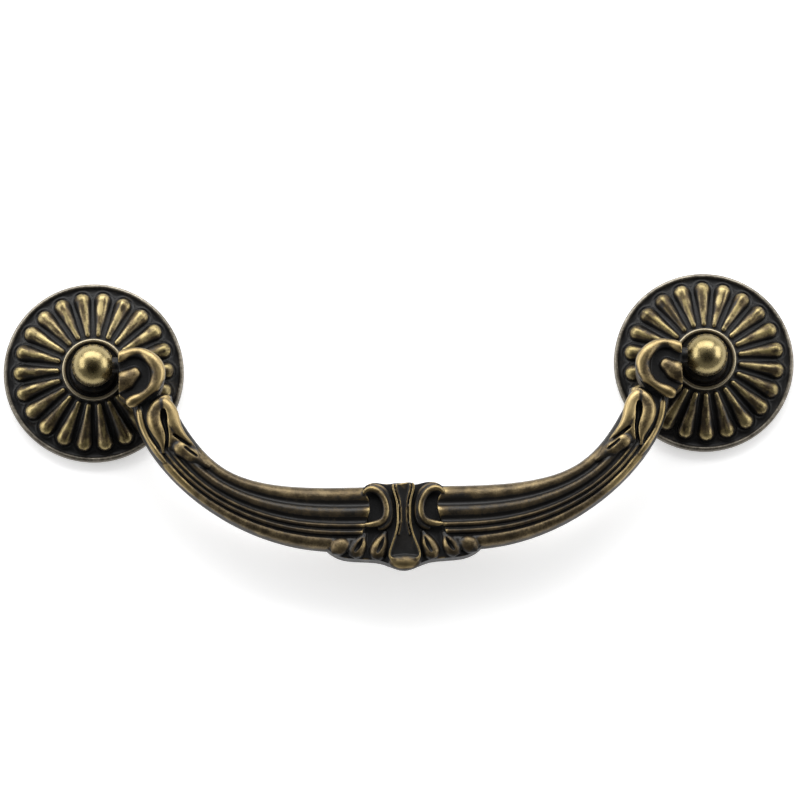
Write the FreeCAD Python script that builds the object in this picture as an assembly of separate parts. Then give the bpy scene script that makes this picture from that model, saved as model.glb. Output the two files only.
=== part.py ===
import FreeCAD, Part
import math
import os
from FreeCAD import Vector

os.makedirs("parts", exist_ok=True)

# Bail pull for a drawer. Millimetres. The drawer face is the plane y = 0, the pull faces -Y and the
# origin lies midway between the two screw holes. Heights are measured out from the drawer face.

# Fixing and pivot
HOLE_SPACING = 96.0
PIVOT_HEIGHT = 7.8
PIN_RADIUS = 1.25
PIN_LENGTH = 3.9
PIN_CLEARANCE = 0.06
PIN_END_GAP = 0.4

# Rosette
ROSETTE_RADIUS = 14.15
RIM_HEIGHT = 1.5
RIM_WIDTH = 0.5
RIM_ROUND = 0.3
BAND_WIDTH = 1.0
BAND_DEPTH = 0.3
RING_RADIUS = 4.95
RING_HEIGHT = 4.4
RING_WIDTH = 0.6
RING_STEP = 0.9
WELL_DEPTH = 1.0
DOME_RISE = 0.3
BACK_LAND = 2.2
BACK_WALL = 1.4
HUB_WALL = 1.7
PETAL_COUNT = 22
PETAL_TIP_RADIUS = 1.32
PETAL_ROOT_RADIUS = 0.5
PETAL_ROOT_GAP = 0.3

# Post with its ball head
BALL_RADIUS = 3.33
NECK_RADIUS = 2.5
COLLAR_RADIUS = 3.8
COLLAR_THICKNESS = 0.9
SHANK_RADIUS = 2.9
SHANK_CLEARANCE = 0.1
THREAD_HOLE_RADIUS = 1.65
THREAD_WALL = 0.7

# Bail
BAIL_DROP = 25.05
BAIL_BACK = 2.4
END_GAP = 0.67
SWING_CLEARANCE = 0.35
SCROLL_EASE = 0.6
SCROLL_RECESS = 1.65
SCROLL_PLATE_RADIUS = 4.2
SCROLL_PLATE_INSET = 2.9
SCROLL_PLATE_DEPTH = 4.55
ARM_ROOT_INSET = 5.1
ARM_ROOT_DEPTH = 7.85
ORNAMENT_GROUND = 1.4
ORNAMENT_BACK = 2.2
TONGUE_HEIGHT = 2.8
BORDER_WIDTH = 0.3
BORDER_DEPTH = 0.5

POST_X = HOLE_SPACING / 2
BORE_RADIUS = SHANK_RADIUS + SHANK_CLEARANCE
SEAT_HEIGHT = RING_HEIGHT - WELL_DEPTH
BAND_HEIGHT = RIM_HEIGHT - BAND_DEPTH
BAND_RADIUS = ROSETTE_RADIUS - RIM_WIDTH - BAND_WIDTH
PIN_HOLE_RADIUS = PIN_RADIUS + PIN_CLEARANCE
END_FACE_X = POST_X - BALL_RADIUS - END_GAP
SWING_RADIUS = PIVOT_HEIGHT - RING_HEIGHT - SWING_CLEARANCE
SCROLL_TOP = SWING_RADIUS - SCROLL_EASE
SCROLL_FLOOR = SWING_RADIUS - SCROLL_RECESS

FRONT = Vector(0, -1, 0)
SIDEWAYS = Vector(1, 0, 0)
ORIGIN = Vector(0, 0, 0)

# Arm from its root at a scroll end to the middle of the bail: place along the reach, place along the
# drop, width, height of the crown and depth of the reeding.
ARM_STATIONS = (
    (1.000, 0.000, 5.8, 1.5, 0.15),
    (0.965, 0.240, 6.3, 1.6, 0.15),
    (0.885, 0.485, 6.3, 2.1, 0.80),
    (0.768, 0.710, 6.35, 2.3, 1.00),
    (0.595, 0.890, 7.6, 2.4, 1.00),
    (0.410, 0.980, 9.0, 2.4, 1.00),
    (0.000, 1.000, 9.5, 2.4, 1.00),
)

# Reeding across the front of an arm, from its upper edge to its lower edge: where each reed or groove
# ends as a share of the width, and how far it swells or sinks.
REEDS = (
    (-0.29, 0.36),
    (-0.17, -0.34),
    (-0.01, 0.30),
    (0.10, -0.34),
    (0.16, 0.20),
    (0.21, -0.22),
    (0.28, 0.24),
    (0.33, -0.26),
    (0.50, 0.36),
)

# C scroll at each end of the bail: place in from the flat end face, place down from its top, half width.
SCROLL_LINE = (
    (0.2, 1.55, 0.85),
    (1.6, 0.90, 0.80),
    (3.35, 0.85, 0.90),
    (4.95, 1.75, 1.05),
    (5.95, 3.20, 1.20),
    (6.05, 4.80, 1.20),
    (5.15, 6.65, 0.95),
    (3.7, 7.80, 0.85),
    (1.9, 8.70, 0.90),
)


def smooth(points, closed=False):
    """Smooth curve through the points."""
    curve = Part.BSplineCurve()
    curve.interpolate(points, PeriodicFlag=closed)
    return curve


def oval(centre, along, across, width, height):
    """Oval wire round a direction, with its half width across the path and its half height to the front."""
    axes = [(width, across), (height, along.cross(across))]
    (major, first), (minor, second) = sorted(axes, key=lambda axis: -axis[0])
    return Part.Wire(Part.Ellipse(centre + first * major, centre + second * minor, centre).toShape())


def bead(points, widths, heights=None):
    """Rounded ridge of changing half width and half height along a smooth curve, closed by rounded ends."""
    heights = heights or [0.9 * width for width in widths]
    curve = smooth(points)
    marks = [curve.parameter(point) for point in points]

    def section(index, angle, side):
        along = curve.tangent(marks[index])[0]
        across = FRONT.cross(along).normalize()
        centre = curve.value(marks[index]) + along * (side * widths[index] * math.sin(angle))
        return oval(centre, along, across, widths[index] * math.cos(angle), heights[index] * math.cos(angle))

    caps = [math.radians(angle) for angle in (35, 70)]
    wires = [section(0, angle, -1) for angle in reversed(caps)]
    wires += [section(index, 0, 0) for index in range(len(points))]
    wires += [section(-1, angle, 1) for angle in caps]
    return Part.makeLoft(wires, True)


def mirrored(shapes):
    """The shapes together with their mirror images on the other side of the pull."""
    return shapes + [shape.mirror(ORIGIN, SIDEWAYS) for shape in shapes]


def turned(edges, axis_point=ORIGIN, axis=FRONT):
    """Solid of revolution of a closed outline."""
    face = Part.Face(Part.Wire(edges))
    return face.revolve(axis_point, axis, 360)


def lines(points):
    """Straight edges joining the points in order."""
    return [Part.makeLine(start, end) for start, end in zip(points, points[1:])]


def at(radius, height):
    """Point of a turned profile."""
    return Vector(radius, -height, 0)


def ground_height(radius):
    """Height of the rosette's domed ground at a radius."""
    share = (BAND_RADIUS - radius) / (BAND_RADIUS - RING_RADIUS)
    rise = RING_HEIGHT - RING_STEP - BAND_HEIGHT
    return BAND_HEIGHT + rise * share + 4 * DOME_RISE * share * (1 - share)


def petal():
    """Teardrop petal: a large and a small ball joined by the cone that touches both."""
    root_radius = RING_RADIUS + PETAL_ROOT_GAP + PETAL_ROOT_RADIUS
    tip_radius = BAND_RADIUS - PETAL_TIP_RADIUS
    root = at(root_radius, ground_height(root_radius))
    tip = at(tip_radius, ground_height(tip_radius))
    along = (tip - root).normalize()
    down = Vector(-along.y, along.x, 0)
    lean = math.asin((PETAL_TIP_RADIUS - PETAL_ROOT_RADIUS) / root.distanceToPoint(tip))

    def off(centre, radius, angle):
        return centre + along * (radius * math.cos(angle)) + down * (radius * math.sin(angle))

    touch = math.pi / 2 + lean
    root_end = off(root, PETAL_ROOT_RADIUS, math.pi)
    root_touch = off(root, PETAL_ROOT_RADIUS, touch)
    tip_touch = off(tip, PETAL_TIP_RADIUS, touch)
    tip_end = off(tip, PETAL_TIP_RADIUS, 0)
    outline = [
        Part.Arc(root_end, off(root, PETAL_ROOT_RADIUS, (math.pi + touch) / 2), root_touch).toShape(),
        Part.makeLine(root_touch, tip_touch),
        Part.Arc(tip_touch, off(tip, PETAL_TIP_RADIUS, touch / 2), tip_end).toShape(),
        Part.makeLine(tip_end, root_end),
    ]
    return turned(outline, root, along)


def rosette(turn):
    """Domed backplate with a rim, radiating petals and a raised ring round the post's seat."""
    hub_radius = BORE_RADIUS + HUB_WALL
    hollow_radius = ROSETTE_RADIUS - BACK_LAND
    rim_inner = ROSETTE_RADIUS - RIM_WIDTH
    ring_foot = RING_HEIGHT - RING_STEP
    ring_inner = RING_RADIUS - RING_WIDTH
    middle = (BAND_RADIUS + RING_RADIUS) / 2
    crest = RING_RADIUS - RING_WIDTH / 2
    shoulder = RING_HEIGHT - RING_WIDTH / 2
    round_start = at(ROSETTE_RADIUS, RIM_HEIGHT - RIM_ROUND)
    round_middle = at(ROSETTE_RADIUS - RIM_ROUND * 0.3, RIM_HEIGHT - RIM_ROUND * 0.3)
    round_end = at(ROSETTE_RADIUS - RIM_ROUND, RIM_HEIGHT)
    band_outer = at(rim_inner - BAND_DEPTH, BAND_HEIGHT)
    band_inner = at(BAND_RADIUS, BAND_HEIGHT)
    outline = lines([
        at(BORE_RADIUS, SEAT_HEIGHT),
        at(BORE_RADIUS, 0),
        at(hub_radius, 0),
        at(hub_radius, ground_height(hub_radius) - BACK_WALL),
        at(hollow_radius, 0),
        at(ROSETTE_RADIUS, 0),
        round_start,
    ])
    outline.append(Part.Arc(round_start, round_middle, round_end).toShape())
    outline += lines([round_end, at(rim_inner, RIM_HEIGHT), band_outer, band_inner])
    dome = Part.Arc(band_inner, at(middle, ground_height(middle)), at(RING_RADIUS, ring_foot))
    outline.append(dome.toShape())
    outline += lines([at(RING_RADIUS, ring_foot), at(RING_RADIUS, shoulder)])
    lip = Part.Arc(at(RING_RADIUS, shoulder), at(crest, RING_HEIGHT), at(ring_inner, shoulder))
    outline.append(lip.toShape())
    outline += lines([at(ring_inner, shoulder), at(ring_inner, SEAT_HEIGHT), at(BORE_RADIUS, SEAT_HEIGHT)])
    body = turned(outline)
    petals = []
    for index in range(PETAL_COUNT):
        copy = petal()
        copy.rotate(ORIGIN, FRONT, turn + index * 360 / PETAL_COUNT)
        petals.append(copy)
    return body.multiFuse(petals)


def post():
    """Ball head on a neck and collar, with a threaded shank; its pin hole opens towards -X."""
    collar_top = SEAT_HEIGHT + COLLAR_THICKNESS
    neck_top = PIVOT_HEIGHT - math.sqrt(BALL_RADIUS ** 2 - NECK_RADIUS ** 2)
    outline = lines([
        at(0, PIVOT_HEIGHT + BALL_RADIUS),
        at(0, 0),
        at(SHANK_RADIUS, 0),
        at(SHANK_RADIUS, SEAT_HEIGHT),
        at(COLLAR_RADIUS, SEAT_HEIGHT),
        at(COLLAR_RADIUS, SEAT_HEIGHT + COLLAR_THICKNESS / 2),
        at(COLLAR_RADIUS - COLLAR_THICKNESS / 2, collar_top),
        at(NECK_RADIUS, collar_top),
        at(NECK_RADIUS, neck_top),
    ])
    ball = Part.Arc(
        at(NECK_RADIUS, neck_top), at(BALL_RADIUS, PIVOT_HEIGHT), at(0, PIVOT_HEIGHT + BALL_RADIUS))
    outline.append(ball.toShape())
    body = turned(outline)
    thread_depth = PIVOT_HEIGHT - PIN_HOLE_RADIUS - THREAD_WALL
    thread_hole = Part.makeCylinder(THREAD_HOLE_RADIUS, thread_depth, ORIGIN, FRONT)
    floor = END_FACE_X + PIN_LENGTH + PIN_END_GAP - POST_X
    pin_hole = Part.makeCylinder(
        PIN_HOLE_RADIUS, floor + 2 * BALL_RADIUS, at(-2 * BALL_RADIUS, PIVOT_HEIGHT), SIDEWAYS)
    return body.cut(thread_hole.fuse(pin_hole))


def on_bail(x, z, height):
    """Point of the bail: across, up from the pivot axis and forward of it."""
    return Vector(x, -PIVOT_HEIGHT - height, z)


def on_ornament(x, up, height):
    """Point of the centre ornament, measured up from the middle of the arms."""
    return on_bail(x, up - BAIL_DROP, height)


def arm_points():
    """Middle line of the bail from the right root over the centre to the left root."""
    root = SCROLL_TOP - ARM_ROOT_DEPTH
    drop = BAIL_DROP + root
    reach = END_FACE_X - ARM_ROOT_INSET
    right = [on_bail(part * reach, root - share * drop, 0) for part, share, *_ in ARM_STATIONS]
    left = [Vector(-point.x, point.y, point.z) for point in reversed(right[:-1])]
    return right + left


def arm_section(centre, outward, width, crown, relief):
    """Outline of the arm: a reeded front, rounded sides and a flat back."""
    def place(share, height):
        return centre + outward * (share * width) + FRONT * height

    def valley(share):
        return crown * (1 - 0.4 * (2 * share) ** 2)

    edges = []
    start = -0.5
    for end, swell in REEDS:
        middle = (valley(start) + valley(end)) / 2 + swell * relief
        arc = Part.Arc(
            place(start, valley(start)), place((start + end) / 2, middle), place(end, valley(end)))
        edges.append(arc.toShape())
        start = end
    edge = valley(0.5)
    waist = (edge - BAIL_BACK) / 2
    lower_side = Part.Arc(place(0.5, edge), place(0.53, waist), place(0.42, -BAIL_BACK))
    upper_side = Part.Arc(place(-0.42, -BAIL_BACK), place(-0.53, waist), place(-0.5, edge))
    edges.append(lower_side.toShape())
    edges.append(Part.makeLine(place(0.42, -BAIL_BACK), place(-0.42, -BAIL_BACK)))
    edges.append(upper_side.toShape())
    return Part.Wire(edges)


def arms():
    """Both arms in one sweep from root to root."""
    points = arm_points()
    curve = smooth(points)
    sizes = list(ARM_STATIONS) + list(reversed(ARM_STATIONS[:-1]))
    wires = []
    for point, (_, _, width, crown, relief) in zip(points, sizes):
        along = curve.tangent(curve.parameter(point))[0]
        outward = FRONT.cross(along)
        wires.append(arm_section(point, outward, width, crown, relief))
    return Part.makeLoft(wires, True)


def on_arm(distance, outward, height):
    """Point of the right arm: along its middle line from the root, outward from it, and forward."""
    curve = smooth(arm_points())
    mark = curve.parameterAtDistance(distance, curve.FirstParameter)
    along = curve.tangent(mark)[0]
    return curve.value(mark) + FRONT.cross(along) * outward + FRONT * height


def on_scroll(inset, down, height):
    """Point of the right scroll end: in from its flat end face, down from its top, forward of the axis."""
    return on_bail(END_FACE_X - inset, SCROLL_TOP - down, height)


def scroll_end():
    """C scroll on a round plate, cut off flat beside the ball head and rounded about the pivot axis."""
    plate = Part.makeCylinder(
        SCROLL_PLATE_RADIUS, BAIL_BACK + SCROLL_FLOOR,
        on_scroll(SCROLL_PLATE_INSET, SCROLL_PLATE_DEPTH, -BAIL_BACK), FRONT)
    points = []
    for inset, down, width in SCROLL_LINE:
        above_axis = max(SCROLL_TOP - down, 0)
        points.append(on_scroll(inset, down, math.sqrt((SWING_RADIUS - width) ** 2 - above_axis ** 2)))
    ridge = bead(points, [width for _, _, width in SCROLL_LINE])
    tongue = bead([
        on_scroll(0.2, 5.7, SCROLL_FLOOR), on_scroll(1.3, 4.95, SCROLL_FLOOR),
        on_scroll(2.3, 4.2, SCROLL_FLOOR)],
        [1.45, 1.6, 1.2], [1.05, 1.15, 0.95])

    def at_root(y, z):
        return Vector(0, y - PIVOT_HEIGHT, z)

    low = SCROLL_TOP - BAIL_DROP
    outline = lines([
        at_root(SWING_RADIUS, 0), at_root(SWING_RADIUS, low),
        at_root(-SWING_RADIUS, low), at_root(-SWING_RADIUS, 0)])
    crown = Part.Arc(at_root(-SWING_RADIUS, 0), at_root(0, SWING_RADIUS), at_root(SWING_RADIUS, 0))
    limit = Part.Face(Part.Wire(outline + [crown.toShape()])).extrude(SIDEWAYS * END_FACE_X)
    pin = Part.makeCylinder(
        PIN_RADIUS, SCROLL_PLATE_INSET + PIN_LENGTH,
        on_bail(END_FACE_X - SCROLL_PLATE_INSET, 0, 0), SIDEWAYS)
    return plate.multiFuse([ridge, tongue]).common(limit).fuse(pin)


def leaf():
    """Acanthus leaf below a scroll end: a mound, its two lobes, a long leaflet and the strip beside it."""
    mound = bead([
        on_arm(1.6, -1.3, 1.3), on_arm(3.3, -0.9, 1.3), on_arm(5.4, -0.8, 1.4), on_arm(7.6, -0.7, 1.5),
        on_arm(9.8, -1.1, 1.6), on_arm(12.2, -1.5, 1.8), on_arm(14.6, -1.9, 1.8)],
        [1.7, 2.2, 2.2, 1.9, 1.5, 1.1, 0.5], [1.0, 1.15, 1.2, 1.1, 0.95, 0.75, 0.4])
    outer = bead([
        on_arm(1.5, -0.9, 1.7), on_arm(2.6, 0.1, 1.8), on_arm(3.9, 0.6, 1.9), on_arm(5.3, 0.7, 1.9),
        on_arm(6.8, 0.9, 1.9), on_arm(8.4, 1.7, 1.8)],
        [1.05, 1.2, 1.2, 1.1, 0.8, 0.35], [0.8, 0.85, 0.9, 0.85, 0.65, 0.3])
    inner = bead([
        on_arm(1.6, -1.7, 1.7), on_arm(3.0, -2.2, 1.8), on_arm(5.0, -2.0, 1.9), on_arm(7.0, -1.9, 2.0),
        on_arm(9.0, -2.2, 2.0), on_arm(10.8, -2.4, 1.9)],
        [1.1, 1.15, 1.2, 0.95, 0.55, 0.3], [0.8, 0.85, 0.9, 0.75, 0.45, 0.25])
    leaflet = bead([
        on_arm(7.7, -0.4, 1.8), on_arm(9.0, -0.6, 1.9), on_arm(10.6, -1.0, 2.0), on_arm(12.3, -1.4, 2.1),
        on_arm(14.8, -1.9, 2.0)],
        [0.6, 1.1, 1.15, 0.95, 0.35], [0.55, 0.9, 0.9, 0.75, 0.3])
    strip = bead([
        on_arm(1.0, 2.1, 0.9), on_arm(4.0, 2.6, 1.2), on_arm(6.8, 2.6, 1.4), on_arm(9.6, 2.5, 1.6)],
        [0.4, 0.5, 0.5, 0.35])
    return [mound, outer, inner, leaflet, strip]


def leaf_slots():
    """Groove under a scroll end, curved slot between the lobes of its leaf, cut and vein of the leaflet."""
    groove = bead([
        on_scroll(7.3, 7.1, 2.5), on_scroll(6.0, 7.6, 2.4), on_scroll(4.6, 8.6, 2.4),
        on_scroll(2.9, 9.85, 2.4)],
        [0.45, 0.55, 0.55, 0.45], [0.9, 1.15, 1.15, 0.9])
    slot = bead([
        on_arm(2.9, -1.2, 2.5), on_arm(3.7, -1.0, 2.4), on_arm(4.8, -0.7, 2.4), on_arm(6.2, -0.35, 2.4),
        on_arm(7.5, 0.4, 2.4), on_arm(8.5, 1.4, 2.4)],
        [0.45, 0.55, 0.45, 0.35, 0.3, 0.25], [0.75, 0.95, 0.95, 0.9, 0.85, 0.75])
    cut = bead([
        on_arm(7.2, -1.1, 2.6), on_arm(8.6, -1.6, 2.6), on_arm(10.4, -2.1, 2.5)],
        [0.22, 0.28, 0.2], [0.6, 0.7, 0.5])
    vein = bead([
        on_arm(10.0, -1.3, 2.9), on_arm(11.2, -1.55, 2.9), on_arm(12.4, -1.8, 2.8)],
        [0.2, 0.24, 0.2], [0.4, 0.5, 0.4])
    return [groove, slot, cut, vein]


def ornament():
    """Centre ornament: ground, flared tongue, C scrolls and leaf lobes on both sides of it."""
    def closed(half, top, foot, height):
        """Face with the half outline and its mirror image, closed at the top and the foot."""
        rim = [(0, top)] + half + [(0, foot)] + [(-x, up) for x, up in reversed(half)]
        outline = smooth([on_ornament(x, up, height) for x, up in rim], True)
        return Part.Face(Part.Wire(outline.toShape()))

    ground = [(2.6, 5.3), (4.8, 5.5), (6.2, 4.6), (5.5, 3.0), (5.4, 0.6), (6.2, -1.3), (7.4, -2.5),
              (9.6, -3.3), (12.2, -4.4), (11.1, -5.5), (8.6, -6.35), (5.7, -6.55), (3.4, -6.9)]
    plate = closed(ground, 5.3, -7.95, -ORNAMENT_BACK).extrude(FRONT * (ORNAMENT_BACK + ORNAMENT_GROUND))
    field = ground[:5] + [(6.1, -1.4), (6.6, -3.0), (6.2, -5.2), (3.4, -7.4)]
    clearing = closed(field, 5.3, -8.6, ORNAMENT_GROUND).extrude(FRONT * BAIL_DROP)

    side = [(1.75, 4.9), (1.3, 2.8), (1.1, 0.8), (1.15, -1.2), (1.6, -3.1), (2.25, -4.9), (2.5, -6.2)]
    floor = TONGUE_HEIGHT - BORDER_DEPTH

    def slab(inset, top, foot, low, high):
        """Slab between two heights, its sides drawn in from those of the tongue."""
        return closed([(x - inset, up) for x, up in side], top, foot, low).extrude(FRONT * (high - low))

    tongue = slab(0, 5.3, -7.9, -ORNAMENT_BACK, TONGUE_HEIGHT)
    tongue = tongue.cut(slab(BORDER_WIDTH, 6.3, -6.6, floor, TONGUE_HEIGHT))
    inner_border = slab(2 * BORDER_WIDTH - 0.05, 6.0, -6.4, floor - 0.1, TONGUE_HEIGHT - 0.15)
    inner_border = inner_border.cut(slab(3 * BORDER_WIDTH - 0.1, 6.6, -6.0, floor - 0.1, TONGUE_HEIGHT))
    upper = Part.makeBox(4, TONGUE_HEIGHT, 8, on_ornament(-2, -2.9, TONGUE_HEIGHT))
    inner_border = inner_border.common(upper).common(slab(0, 5.3, -7.9, 0, TONGUE_HEIGHT))
    nose = bead(
        [on_ornament(x, up, 1.8) for x, up in ((-1.4, -7.0), (0, -7.15), (1.4, -7.0))],
        [1.1, 1.3, 1.1], [1.05, 1.25, 1.05])

    scroll = [(6.1, 3.9), (5.2, 4.4), (4.1, 4.1), (3.15, 3.0), (2.75, 1.75), (2.75, 0.6), (3.2, -0.45),
              (4.3, -1.05), (5.9, -1.2)]
    crest = bead([on_ornament(x, up, 2.3) for x, up in scroll], [0.3, 0.5] + 6 * [0.55] + [0.3])
    back = [(4.9, 5.0), (3.5, 4.6), (2.45, 3.4), (2.05, 1.8), (2.05, 0.2), (2.55, -1.1), (3.8, -1.8)]
    back_ridge = bead([on_ornament(x, up, 1.95) for x, up in back], [0.3] + 5 * [0.42] + [0.3])
    lobes = (
        (1.5, [(3.0, -2.4), (3.4, -3.4), (3.8, -4.4), (4.15, -5.35)]),
        (1.6, [(6.2, -2.7), (6.65, -3.5), (7.1, -4.3), (7.5, -5.0)]),
        (1.7, [(8.4, -3.7), (9.0, -4.0), (9.6, -4.25), (10.2, -4.5)]),
    )
    slits = (
        [(3.15, -3.1), (3.6, -4.3), (4.15, -5.4)],
        [(6.5, -3.4), (7.0, -4.3), (7.6, -5.2)],
    )
    details = [crest, back_ridge]
    for height, lobe in lobes:
        points = [on_ornament(x, up, height) for x, up in lobe]
        details.append(bead(points, [0.4, 0.9, 1.25, 1.35], [0.38, 0.75, 0.9, 0.9]))
    cuts = []
    for slit in slits:
        cuts.append(bead([on_ornament(x, up, 2.6) for x, up in slit], [0.2, 0.4, 0.3], [0.5, 0.75, 0.6]))
    return plate, clearing, [tongue, inner_border, nose] + mirrored(details), mirrored(cuts)


def bail():
    """The casting: arms, scroll ends with their pins, leaves and centre ornament."""
    plate, clearing, details, cuts = ornament()
    body = arms().cut(clearing)
    body = body.multiFuse([plate] + details + mirrored([scroll_end()] + leaf()))
    return body.cut(cuts + mirrored(leaf_slots()))


half_pitch = 180 / PETAL_COUNT
for name, turn, place in (("left", half_pitch, -POST_X), ("right", 0, POST_X)):
    plate = rosette(90 + turn)
    plate.translate(SIDEWAYS * place)
    plate.exportStep("parts/%s_rosette.step" % name)
    head = post()
    if place < 0:
        head = head.mirror(ORIGIN, SIDEWAYS)
    head.translate(SIDEWAYS * place)
    head.exportStep("parts/%s_post.step" % name)

bail().exportStep("parts/bail.step")
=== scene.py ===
import bpy
import math
import numpy as np
from collections import namedtuple
from mathutils import Matrix, Vector


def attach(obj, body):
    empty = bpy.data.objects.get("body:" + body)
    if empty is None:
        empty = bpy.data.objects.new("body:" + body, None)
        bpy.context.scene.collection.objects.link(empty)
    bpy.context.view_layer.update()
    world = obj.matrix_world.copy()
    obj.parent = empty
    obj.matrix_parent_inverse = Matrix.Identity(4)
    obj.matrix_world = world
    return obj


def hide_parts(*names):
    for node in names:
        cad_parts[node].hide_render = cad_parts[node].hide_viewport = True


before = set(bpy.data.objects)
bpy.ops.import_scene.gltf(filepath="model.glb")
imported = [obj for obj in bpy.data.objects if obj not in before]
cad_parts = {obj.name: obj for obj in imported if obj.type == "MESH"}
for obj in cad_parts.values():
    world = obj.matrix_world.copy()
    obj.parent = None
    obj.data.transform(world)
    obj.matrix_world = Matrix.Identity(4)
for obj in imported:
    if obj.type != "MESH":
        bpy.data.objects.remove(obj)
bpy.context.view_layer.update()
scene = bpy.context.scene
MM = 0.001

# Skin of each cast or turned piece: body, finish slot, grid of the skin in mm, most triangles.
PIECES = {
    "bail": ("bail", "bail_brass", 0.11, 195000),
    "left_rosette": ("base", "rosette_brass", 0.15, 150000),
    "right_rosette": ("base", "rosette_brass", 0.15, 150000),
    "left_post": ("base", "post_brass", 0.11, 40000),
    "right_post": ("base", "post_brass", 0.11, 40000),
}

# Rosettes, in mm: how far their middles are from the pull's, how many petals, and for a petal's tip and root
# the radius at which its ball sits and the ball's own radius, and a petal's least half width.
POST_X = 48.0
PETALS = 22
PETAL_TIP = (11.33, 1.32)
PETAL_ROOT = (5.75, 0.5)
PETAL_LEAST = 0.3

# Radii on a rosette, in mm: where the rim starts, and from where to where the ring and the petals reach.
RIM = 13.4
RING = (4.2, 5.1)
PETAL_BAND = (5.1, 13.0)

# Places on the bail by distance from its middle, in mm, and on a post by distance from the drawer front.
ORNAMENT = 12.0
ARM = (6.0, 35.0)
SCROLL = (32.0, 37.0)
BALL = (4.5, 6.5)

# Thin raised line round each petal tip, in mm: height, distance from the tip's ball, width and outer radius.
LINE_HEIGHT = 0.17
LINE_AWAY = 0.36
LINE_WIDTH = 0.11
LINE_RADIUS = 13.45

# Streaks of rubbing along the petals: seed of the draws, patches along and across a petal, their size in mm.
STREAK_SEED = 7
STREAK_PATCHES = (12, 24)
STREAK_SIZE = (1.5, 0.30)

# Reach and cell in mm of the two maps of the front surface from which each point's relief is read, the maps'
# margin in reaches, the passes and narrowing of their blur, and the passes that calm an edge.
FINE_MAP = (0.7, 0.12)
WIDE_MAP = (1.8, 0.2)
MAP_MARGIN = 4
BLUR_PASSES = 3
BLUR_NARROWING = 1.7
EDGE_PASSES = 10

# Share of a normal towards the front at which a surface starts to face it and does so fully, and the same for
# a surface that lies square to the front or the back.
FACING = (-0.1, 0.5)
SQUARE = (0.3, 0.8)

# Relief in the rubbing: weights of the fine map and of edges. Relief in a hollow, where it paints shade on
# the
# patina: weights of the fine and the wide map, and the depth in mm at which that painted shade is darkest.
FINE_GAIN = 2.2
EDGE_GAIN = 3.0
HOLLOW_FINE = 1.2
HOLLOW_WIDE = 0.5
HOLLOW_DEPTH = 0.7

# Surfaces that don't face the front: rubbing all over, on edges, and the relief in mm of a full edge, then
# paleness, which is a painted grey sheen, and how much calmer the mottling is. On the back: how much more is
# rubbed, and how much of the painted sheen and of the painted shade in the hollows is lost.
SIDE_RUB = 0.30
SIDE_EDGE_RUB = 0.20
SIDE_EDGE = 0.08
SIDE_SHEEN = 0.5
SIDE_CALM = 0.65
BACK_RUB = 0.10
BACK_SHEEN_LOSS = 0.8
BACK_HOLLOW_LOSS = 0.7

# How much more each place is rubbed than its relief alone says, and how pale the metal is there as a painted
# grey sheen, then how much of the relief's rubbing the arm loses, and the least rubbing of a ball.
# Less rubbing on a petal's flanks darkens them as painted shade between the petals; the tips are made duller.
ROSETTE_RUB_AND_SHADE = {"rim": 0.40, "ring": 0.25, "flank": -0.16, "tip": -0.16, "streak": 0.34}
ROSETTE_SHEEN = {"rim": 1.0, "ring": 0.6, "flank": 0.35}
# Less rubbing on the ornament's sides darkens them as painted shade.
BAIL_RUB_AND_SHADE = {"arm": 0.10, "scroll": 0.12, "scroll_floor": -0.30, "ornament": -0.08, "ornament_side": -0.16}
BAIL_SHEEN = {"arm": 0.08, "ornament": -0.35}
ARM_DULL = 0.5
BALL_RUB = 0.75

# Noise in the finish: features to the metre, detail, roughness, and its part in the mottling.
Noise = namedtuple("Noise", "scale detail rough part")
CLOUD = Noise(130.0, 2.0, 0.55, 0.30)
BLOTCH = Noise(520.0, 4.0, 0.60, 0.50)
GRAIN = Noise(3000.0, 3.0, 0.65, 0.60)

# Rubbing over which the patina thins to brown, and over which the brown goes to bare metal.
THINNED = (0.05, 0.50)
BARE = (0.42, 0.92)

# Colours of the finish: patina in the open, and darker in hollows as painted shade, dark and light brown, and
# the paler brown and metal that paint a grey sheen on rims and sides. Then how metallic the brown is, and
# gloss, roughness and fine pits.
PATINA_AND_SHADE = ((0.009, 0.008, 0.007), (0.002, 0.002, 0.0022))
BROWN = ((0.064, 0.047, 0.026), (0.115, 0.084, 0.045))
SHEEN_BROWN = (0.125, 0.110, 0.087)
SHEEN_METAL = (0.38, 0.345, 0.28)
BROWN_METALLIC = 0.75
SPECULAR = 0.3
HOLLOW_ROUGH = 0.12
PIT_STRENGTH = 0.35
PIT_DEPTH = 0.00006

# Each slot's finish: share of the wide relief in its rubbing, relief in mm at which that starts and is
# complete, rubbing all over, strength of the mottling, dull and bright metal, least and most roughness.
Finish = namedtuple("Finish", "share start full rub mottle dull bright gloss")
FINISHES = {
    "bail_brass": Finish(
        0.35, -0.15, 0.95, -0.06, 0.85, (0.25, 0.186, 0.085), (0.355, 0.268, 0.130), (0.28, 0.44)),
    "rosette_brass": Finish(
        0.55, -0.20, 0.98, 0.0, 1.0, (0.27, 0.215, 0.095), (0.39, 0.312, 0.150), (0.30, 0.46)),
    "post_brass": Finish(
        1.0, -0.6, 0.3, 0.08, 0.9, (0.25, 0.20, 0.095), (0.37, 0.30, 0.15), (0.20, 0.34)),
}

# Pale board behind the pull, in metres: half its side and its place, then its colour and glow.
BOARD_REACH = 0.35
BOARD_Y = 0.0003
BOARD_WHITE = (0.86, 0.86, 0.86, 1)
BOARD_GLOW = 0.45

# Room round the pull: for each change of light a direction, the lean to it where the change starts and ends,
# and the light there. The front is dark, the ceiling light, and the white shows in mirrors only behind.
FRONT = ((0.0, -0.95, -0.31), 0.66, 0.90, 1.0, 0.06)
HEIGHT = ((0.0, 0.0, 1.0), -0.7, 0.6, 0.55, 1.25)
BEHIND = ((0.0, 1.0, 0.0), 0.0, 0.3, 0.0, 1.0)
ROOM_LEVEL = 0.5
WHITE = (1, 1, 1, 1)

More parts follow.
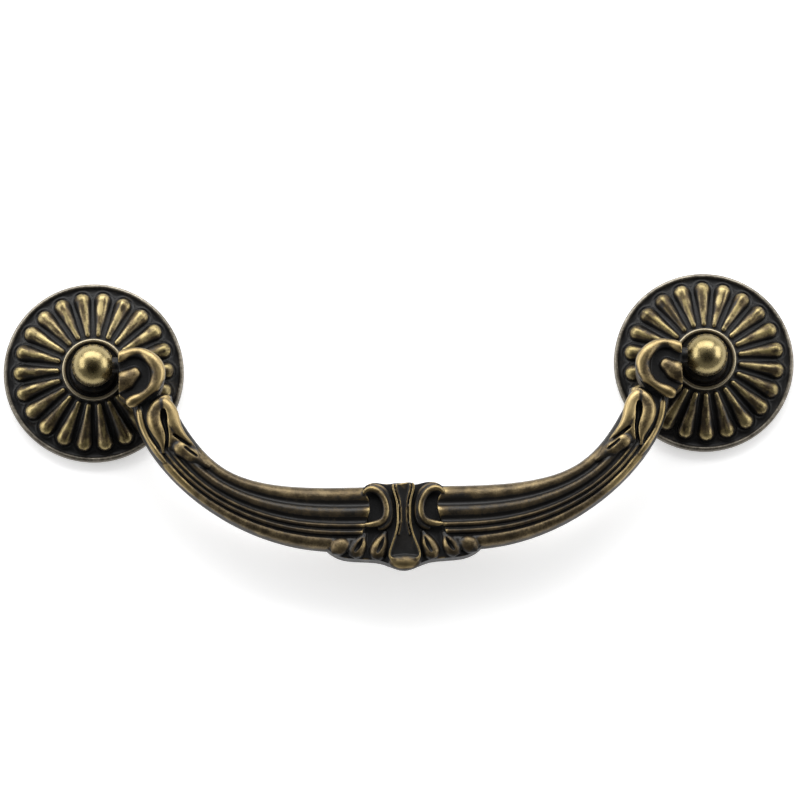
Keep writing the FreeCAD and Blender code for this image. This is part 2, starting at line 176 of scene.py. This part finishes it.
# Soft lamps: place and size in metres, power in watts. All aim at the middle of the pull.
LAMPS = {
    "overhead": ((-0.05, -0.36, 0.50), (0.95, 0.42), 5.0),
    "left_side": ((-0.62, -0.30, 0.12), (0.35, 0.6), 2.2),
    "right_side": ((0.62, -0.30, 0.12), (0.35, 0.6), 2.0),
}
LAMP_AIM = (0, 0, -0.01)

# Camera: side of the picture in pixels, pixels to the mm, distance in mm, turn, rise and roll in degrees, the
# point in mm at which the scale holds, how far right of and below it the picture's middle is in pixels, and
# the sensor in mm.
PICTURE = 800
SCALE = 6.36
DISTANCE = 1150.0
TURN, RISE, ROLL = -1.5, -9.6, 1.25
AIM = (0, -1.5, 0)
AIM_RIGHT, AIM_BELOW = 0.8, 32.8
SENSOR = 36


def baked(piece):
    """Applies the piece's modifiers to its mesh."""
    bpy.context.view_layer.update()
    shaped = piece.evaluated_get(bpy.context.evaluated_depsgraph_get())
    mesh = bpy.data.meshes.new_from_object(shaped)
    old = piece.data
    piece.modifiers.clear()
    piece.data = mesh
    bpy.data.meshes.remove(old)


def casting(node, grid, limit, carve=None):
    """One even skin over the node's shape, its sharp corners worn round as on a polished casting."""
    piece = bpy.data.objects.new(node + "_cast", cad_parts[node].data.copy())
    scene.collection.objects.link(piece)
    skin = piece.modifiers.new("skin", "REMESH")
    skin.mode = "VOXEL"
    skin.voxel_size = grid * MM
    worn = piece.modifiers.new("worn", "SMOOTH")
    worn.factor = 0.5
    worn.iterations = 2
    baked(piece)
    if carve:
        carve(piece.data)
    triangles = 2 * len(piece.data.polygons)
    if triangles > limit:
        thin = piece.modifiers.new("thin", "DECIMATE")
        thin.ratio = limit / triangles
        baked(piece)
    piece.data.shade_smooth()
    return piece


def points_of(mesh):
    """Places of the mesh's vertices, in mm."""
    values = np.empty(len(mesh.vertices) * 3, np.float32)
    mesh.vertices.foreach_get("co", values)
    return values.reshape(-1, 3).astype(float) / MM


def normals_of(mesh):
    """Normals of the mesh's vertices."""
    values = np.empty(len(mesh.vertices) * 3, np.float32)
    mesh.vertex_normals.foreach_get("vector", values)
    return values.reshape(-1, 3).astype(float)


def neighbour_mean(mesh):
    """Function that averages a value per vertex over the vertices joined to it."""
    edges = np.empty(len(mesh.edges) * 2, np.int32)
    mesh.edges.foreach_get("vertices", edges)
    first, second = edges.reshape(-1, 2).T
    count = len(mesh.vertices)
    shares = np.maximum(np.bincount(first, minlength=count) + np.bincount(second, minlength=count), 1)

    def mean(values):
        total = np.bincount(first, values[second], count) + np.bincount(second, values[first], count)
        return total / shares

    return mean


def blurred(grid, reach):
    """Grid blurred over a reach of cells by passes of a running mean."""
    for axis in (0, 1):
        for _ in range(BLUR_PASSES):
            padded = np.insert(np.cumsum(grid, axis), 0, 0, axis)
            size = grid.shape[axis]
            low = np.clip(np.arange(size) - reach, 0, size)
            high = np.clip(np.arange(size) + reach + 1, 0, size)
            grid = (np.take(padded, high, axis) - np.take(padded, low, axis)) / (2 * reach + 1)
    return grid


def front_relief(points, reach, cell):
    """How far each point stands proud of the front surface round it, in mm."""
    across = points[:, [0, 2]]
    low = across.min(0) - MAP_MARGIN * reach
    index = ((across - low) / cell).astype(int)
    shape = tuple(index.max(0) + int(MAP_MARGIN * reach / cell) + 2)
    heights = np.full(shape, -np.inf)
    np.maximum.at(heights, (index[:, 0], index[:, 1]), -points[:, 1])
    solid = np.isfinite(heights)
    cells = max(int(reach / cell / BLUR_NARROWING), 1)
    weight = blurred(solid.astype(float), cells)
    mean = blurred(np.where(solid, heights, 0.0), cells) / np.maximum(weight, 1e-6)
    return -points[:, 1] - mean[index[:, 0], index[:, 1]]


def keep(mesh, name, values):
    """Stores a value per vertex for the finish to read."""
    layer = mesh.attributes.new(name, "FLOAT", "POINT")
    layer.data.foreach_set("value", np.clip(values, 0, 1).astype(np.float32))


def ramp(values, low, high):
    """Goes smoothly from 0 at low to 1 at high."""
    share = np.clip((values - low) / (high - low), 0, 1)
    return share * share * (3 - 2 * share)


def within(values, low, high, ease_in, ease_out):
    """1 between low and high, easing to 0 at both of them."""
    return ramp(values, low, low + ease_in) * ramp(high - values, 0, ease_out)


def weighed(places, weights):
    """Sum of the places that the weights name, each times its weight."""
    return sum(weight * places[name] for name, weight in weights.items())


def petal_place(points):
    """Each point's radius on its rosette, its petal, and how far along and across that from the tip it is."""
    middle = POST_X if points[:, 0].mean() > 0 else -POST_X
    first = 90.0 if middle > 0 else 90.0 + 180.0 / PETALS
    x, z = points[:, 0] - middle, points[:, 2]
    pitch = 2 * math.pi / PETALS
    angle = np.arctan2(z, x) - math.radians(first)
    petal = np.round(angle / pitch)
    angle -= petal * pitch
    radius = np.hypot(x, z)
    return radius, petal.astype(int) % PETALS, radius * np.cos(angle) - PETAL_TIP[0], radius * np.sin(angle)


def streaks(petal, along, across):
    """Uneven rubbing in streaks along each petal, from -1 to 1."""
    table = np.random.default_rng(STREAK_SEED).uniform(-1, 1, (PETALS, *STREAK_PATCHES))
    place_along, place_across = (
        np.clip(place / size + patches / 2, 0, patches - 1.01)
        for place, size, patches in zip((along, across), STREAK_SIZE, STREAK_PATCHES)
    )
    row, column = place_along.astype(int), place_across.astype(int)
    down, right = ramp(place_along - row, 0, 1), ramp(place_across - column, 0, 1)
    near = table[petal, row, column] * (1 - right) + table[petal, row, column + 1] * right
    far = table[petal, row + 1, column] * (1 - right) + table[petal, row + 1, column + 1] * right
    return near * (1 - down) + far * down


def scallops(mesh):
    """Thin raised line round the tip of each petal of a rosette."""
    points = points_of(mesh)
    radius, _, along, across = petal_place(points)
    away = np.hypot(along, across) - PETAL_TIP[1]
    line = LINE_HEIGHT * np.exp(-((away - LINE_AWAY) / LINE_WIDTH) ** 2)
    line *= ramp(along, -0.9, 0.2) * ramp(LINE_RADIUS - radius, 0, 0.25)
    points[:, 1] -= line * ramp(-normals_of(mesh)[:, 1], *SQUARE)
    mesh.vertices.foreach_set("co", (points * MM).astype(np.float32).ravel())


def rosette_wear_shade_and_sheen(points, wear_and_shade, _):
    """Bright rim and ring and streaked petals with duller tips; flanks darkened as painted shade; painted
    grey sheen on rim, ring and flanks.
    """
    radius, petal, along, across = petal_place(points)
    petals = within(radius, *PETAL_BAND, ease_in=0.3, ease_out=0.2)
    taper = (PETAL_TIP[1] - PETAL_ROOT[1]) / (PETAL_TIP[0] - PETAL_ROOT[0])
    width = np.maximum(PETAL_TIP[1] + along * taper, PETAL_LEAST)
    shaft = ramp(-along, 0.2, 2.0)
    places = {
        "rim": ramp(radius, RIM, RIM + 0.2),
        "ring": within(radius, *RING, ease_in=0.2, ease_out=0.15),
        # Flanks are rubbed less, which darkens them as painted shade between the petals.
        "flank": ramp(np.abs(across) / width, 0.3, 0.85) * petals * shaft,
        "tip": 1 - shaft,
        "streak": streaks(petal, along, across) * petals * ramp(wear_and_shade, 0.15, 0.5),
    }
    return wear_and_shade + weighed(places, ROSETTE_RUB_AND_SHADE), weighed(places, ROSETTE_SHEEN)


def bail_wear_shade_and_sheen(points, wear_and_shade, facing):
    """Duller arms, bright scrolls with dark floors, and a darker ornament, its sides darkened as painted
    shade; paleness is painted sheen.
    """
    reach = np.abs(points[:, 0])
    arm = within(reach, *ARM, ease_in=1.5, ease_out=5.0)
    scroll = ramp(reach, *SCROLL)
    ornament = ramp(ORNAMENT - reach, 0, 3.0)
    places = {
        "arm": arm,
        "scroll": scroll,
        "scroll_floor": scroll * ramp(0.4 - wear_and_shade, 0, 0.3),
        "ornament": ornament,
        # The ornament's sides are rubbed less, which darkens them as painted shade.
        "ornament_side": ornament * (1 - facing),
    }
    return wear_and_shade * (1 - ARM_DULL * arm) + weighed(places, BAIL_RUB_AND_SHADE), weighed(places, BAIL_SHEEN)


def post_wear(points, wear_and_shade, _):
    """The whole ball is rubbed."""
    return np.maximum(wear_and_shade, BALL_RUB * ramp(-points[:, 1], *BALL)), np.zeros(len(points))


# Each takes the points, their rubbing by relief and how far they face the front, and gives their rubbing with
# that of their place, lowered in places to paint shade, and their paleness, which is a painted grey sheen.
PLACE_WEAR_SHADE_AND_SHEEN = {"bail_brass": bail_wear_shade_and_sheen, "rosette_brass": rosette_wear_shade_and_sheen, "post_brass": post_wear}


def add_wear_shade_and_sheen(piece, slot):
    """Where handling has rubbed the dark patina off: the parts that stand proud, and the edges; also painted
    grey sheen and shade.
    """
    mesh = piece.data
    points = points_of(mesh)
    normals = normals_of(mesh)
    mean = neighbour_mean(mesh)
    calm = points.copy()
    for _ in range(EDGE_PASSES):
        calm = np.stack([mean(calm[:, k]) for k in range(3)], 1)
    edge = ((points - calm) * normals).sum(1)
    fine, wide = front_relief(points, *FINE_MAP), front_relief(points, *WIDE_MAP)
    facing = ramp(-normals[:, 1], *FACING)
    back = ramp(normals[:, 1], *SQUARE)
    finish = FINISHES[slot]
    proud = finish.share * wide + (1 - finish.share) * FINE_GAIN * fine + EDGE_GAIN * edge
    sunk = -(HOLLOW_WIDE * wide + HOLLOW_FINE * fine + EDGE_GAIN * edge)
    side = (SIDE_RUB + SIDE_EDGE_RUB * ramp(edge, 0, SIDE_EDGE)) * (1 + BACK_RUB * back)
    wear_and_shade = ramp(proud, finish.start, finish.full) * facing + side * (1 - facing)
    wear_and_shade, pale = PLACE_WEAR_SHADE_AND_SHEEN[slot](points, wear_and_shade, facing)
    # Paleness tints rims, ring, flanks and sides grey as a painted sheen, less of it on the back.
    keep(mesh, "pale", (pale + SIDE_SHEEN * (1 - facing)) * (1 - BACK_SHEEN_LOSS * back))
    # The rubbing kept here is lowered on petal flanks and ornament sides to paint shade there.
    keep(mesh, "wear_and_shade", wear_and_shade + back * (side - wear_and_shade))
    keep(mesh, "uneven", 1 - SIDE_CALM * (1 - facing))
    # Depth in a hollow darkens the patina there as painted shade, and makes it rougher.
    keep(mesh, "hollow_shade", ramp(sunk, 0, HOLLOW_DEPTH) * (1 - BACK_HOLLOW_LOSS * back))


class Nodes:
    """Adds nodes to a material or a world."""

    def __init__(self, owner):
        owner.use_nodes = True
        self.tree = owner.node_tree
        self.tree.nodes.clear()

    def add(self, kind, inputs, **settings):
        """Adds a node, links or sets its inputs, and gives its outputs."""
        node = self.tree.nodes.new("ShaderNode" + kind)
        for name, value in settings.items():
            setattr(node, name, value)
        for name, value in inputs.items():
            if isinstance(value, bpy.types.NodeSocket):
                self.tree.links.new(value, node.inputs[name])
            else:
                node.inputs[name].default_value = value
        return node.outputs

    def attribute(self, name):
        """Value per vertex that was kept under this name."""
        return self.add("Attribute", {}, attribute_name=name)["Fac"]

    def math(self, kind, first, second):
        """Result of one step of arithmetic."""
        return self.add("Math", {0: first, 1: second}, operation=kind)[0]

    def ramp(self, value, low, high, first=0.0, last=1.0):
        """Goes smoothly from first to last as the value goes from low to high."""
        inputs = {"Value": value, "From Min": low, "From Max": high, "To Min": first, "To Max": last}
        return self.add("MapRange", inputs, interpolation_type="SMOOTHSTEP")["Result"]

    def mixed(self, factor, first, second):
        """First colour where the factor is 0, second where it is 1."""
        first, second = ((*value, 1) if isinstance(value, tuple) else value for value in (first, second))
        return self.add("Mix", {0: factor, 6: first, 7: second}, data_type="RGBA")[2]

    def either(self, factor, first, second):
        """First shader where the factor is 0, second where it is 1."""
        return self.add("MixShader", {0: factor, 1: first, 2: second})[0]


def antique_brass(name, finish):
    """Brass with dark patina in the hollows, darker there as painted shade, brown where it thins, and bare
    metal where it stands proud.
    """
    material = bpy.data.materials.new(name)
    nodes = Nodes(material)
    place = nodes.add("TexCoord", {})["Object"]
    hollow_shade, pale = nodes.attribute("hollow_shade"), nodes.attribute("pale")

    def noise(kind):
        inputs = {"Vector": place, "Scale": kind.scale, "Detail": kind.detail, "Roughness": kind.rough}
        return nodes.add("TexNoise", inputs)["Fac"]

    def mottling(value, kind):
        return nodes.math("MULTIPLY", nodes.math("SUBTRACT", value, 0.5), kind.part * finish.mottle)

    cloud, blotch, grain = noise(CLOUD), noise(BLOTCH), noise(GRAIN)
    ragged = nodes.math("ADD", mottling(blotch, BLOTCH), mottling(cloud, CLOUD))
    ragged = nodes.math("ADD", ragged, mottling(grain, GRAIN))
    ragged = nodes.math("MULTIPLY", ragged, nodes.attribute("uneven"))
    rubbed_and_shaded = nodes.math("ADD", nodes.math("ADD", nodes.attribute("wear_and_shade"), ragged), finish.rub)
    thinned, bare = nodes.ramp(rubbed_and_shaded, *THINNED), nodes.ramp(rubbed_and_shaded, *BARE)

    # The pale share tints the brown and the metal grey as a painted sheen.
    brown_and_sheen = nodes.mixed(pale, nodes.mixed(nodes.ramp(blotch, 0.35, 0.7), *BROWN), SHEEN_BROWN)
    metal_and_sheen = nodes.mixed(nodes.ramp(cloud, 0.35, 0.65), finish.dull, finish.bright)
    metal_and_sheen = nodes.mixed(pale, metal_and_sheen, SHEEN_METAL)
    # In hollows the patina is darker as painted shade.
    covered_shade_and_sheen = nodes.mixed(thinned, nodes.mixed(hollow_shade, *PATINA_AND_SHADE), brown_and_sheen)
    polish = nodes.math("ADD", nodes.math("MULTIPLY", grain, 0.5), nodes.math("MULTIPLY", blotch, 0.5))
    polish = nodes.ramp(polish, 0.3, 0.7, *finish.gloss)
    pits = {"Strength": PIT_STRENGTH, "Distance": PIT_DEPTH, "Height": nodes.math("ADD", grain, blotch)}
    shader = nodes.add("BsdfPrincipled", {
        "Base Color": nodes.mixed(bare, covered_shade_and_sheen, metal_and_sheen),
        "Metallic": nodes.math("MAXIMUM", nodes.ramp(thinned, 0.0, 1.0, 0.0, BROWN_METALLIC), bare),
        "Roughness": nodes.math("ADD", polish, nodes.math("MULTIPLY", hollow_shade, HOLLOW_ROUGH)),
        "Specular IOR Level": SPECULAR,
        "Normal": nodes.add("Bump", pits)["Normal"],
    })
    nodes.add("OutputMaterial", {"Surface": shader["BSDF"]})
    return material


def backdrop():
    """Pale board that the pull is mounted on, open to the eye and to soft light from behind."""
    mesh = bpy.data.meshes.new("board")
    corners = ((-1, -1), (1, -1), (1, 1), (-1, 1))
    mesh.from_pydata([(x * BOARD_REACH, BOARD_Y, z * BOARD_REACH) for x, z in corners], [], [(0, 1, 2, 3)])
    board = bpy.data.objects.new("board", mesh)
    scene.collection.objects.link(board)
    material = bpy.data.materials.new("pale_board")
    nodes = Nodes(material)
    matt = nodes.add("BsdfDiffuse", {"Color": BOARD_WHITE})[0]
    glow = nodes.add("Emission", {"Strength": BOARD_GLOW})[0]
    pale = nodes.add("AddShader", {0: matt, 1: glow})[0]
    clear = nodes.add("BsdfTransparent", {})[0]
    ray = nodes.add("LightPath", {})
    seen = nodes.math("MAXIMUM", ray["Is Camera Ray"], ray["Is Glossy Ray"])
    seen = nodes.math("MAXIMUM", seen, ray["Is Transmission Ray"])
    front = nodes.math("SUBTRACT", 1.0, nodes.add("NewGeometry", {})["Backfacing"])
    nodes.add("OutputMaterial", {"Surface": nodes.either(nodes.math("MULTIPLY", seen, front), clear, pale)})
    mesh.materials.append(material)


def studio():
    """Soft light from overhead, weaker light from the sides, and a dim room with a white background."""
    world = bpy.data.worlds.new("studio")
    scene.world = world
    nodes = Nodes(world)
    toward = nodes.add("TexCoord", {})["Generated"]

    def lean(direction, low, high, first, last):
        share = nodes.add("VectorMath", {0: toward, 1: direction}, operation="DOT_PRODUCT")["Value"]
        return nodes.ramp(share, low, high, first, last)

    level = nodes.math("MULTIPLY", nodes.math("MULTIPLY", lean(*FRONT), lean(*HEIGHT)), ROOM_LEVEL)
    room = nodes.add("Background", {"Color": WHITE, "Strength": level})[0]
    white = nodes.add("Background", {"Color": WHITE, "Strength": 1.0})[0]
    ray = nodes.add("LightPath", {})
    mirrored = nodes.math("MAXIMUM", ray["Is Glossy Ray"], ray["Is Transmission Ray"])
    mirrored = nodes.math("MULTIPLY", mirrored, lean(*BEHIND))
    seen = nodes.math("MAXIMUM", ray["Is Camera Ray"], mirrored)
    nodes.add("OutputWorld", {"Surface": nodes.either(seen, room, white)})

    for name, (place, size, power) in LAMPS.items():
        lamp = bpy.data.lights.new(name, "AREA")
        lamp.shape = "RECTANGLE"
        lamp.size, lamp.size_y = size
        lamp.energy = power
        light = bpy.data.objects.new(name, lamp)
        light.location = place
        light.rotation_euler = (Vector(LAMP_AIM) - Vector(place)).to_track_quat("-Z", "Y").to_euler()
        scene.collection.objects.link(light)


def camera():
    """Camera a little below the pull, square to it but for a slight turn and roll."""
    turn, rise, roll = (math.radians(angle) for angle in (TURN, RISE, ROLL))
    back = Vector((math.sin(turn) * math.cos(rise), -math.cos(turn) * math.cos(rise), math.sin(rise)))
    right = Vector((math.cos(turn), math.sin(turn), 0))
    up = back.cross(right)
    right, up = right * math.cos(roll) - up * math.sin(roll), right * math.sin(roll) + up * math.cos(roll)
    target = Vector(AIM) + right * (AIM_RIGHT / SCALE) - up * (AIM_BELOW / SCALE)
    lens = bpy.data.cameras.new("camera")
    lens.sensor_width = SENSOR
    lens.lens = SENSOR * DISTANCE * SCALE / PICTURE
    lens.clip_end = 10
    eye = bpy.data.objects.new("camera", lens)
    place = (target + back * DISTANCE) * MM
    eye.matrix_world = Matrix.Translation(place) @ Matrix((right, up, back)).transposed().to_4x4()
    scene.collection.objects.link(eye)
    scene.camera = eye


materials = {
    slot: antique_brass("antique_brass_" + slot.removesuffix("_brass"), finish)
    for slot, finish in FINISHES.items()
}
for node, (body, slot, grid, limit) in PIECES.items():
    piece = casting(node, grid, limit, scallops if slot == "rosette_brass" else None)
    add_wear_shade_and_sheen(piece, slot)
    piece.data.materials.clear()
    piece.data.materials.append(materials[slot])
    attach(piece, body)
    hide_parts(node)

backdrop()
studio()
camera()
scene.view_settings.view_transform = "Standard"
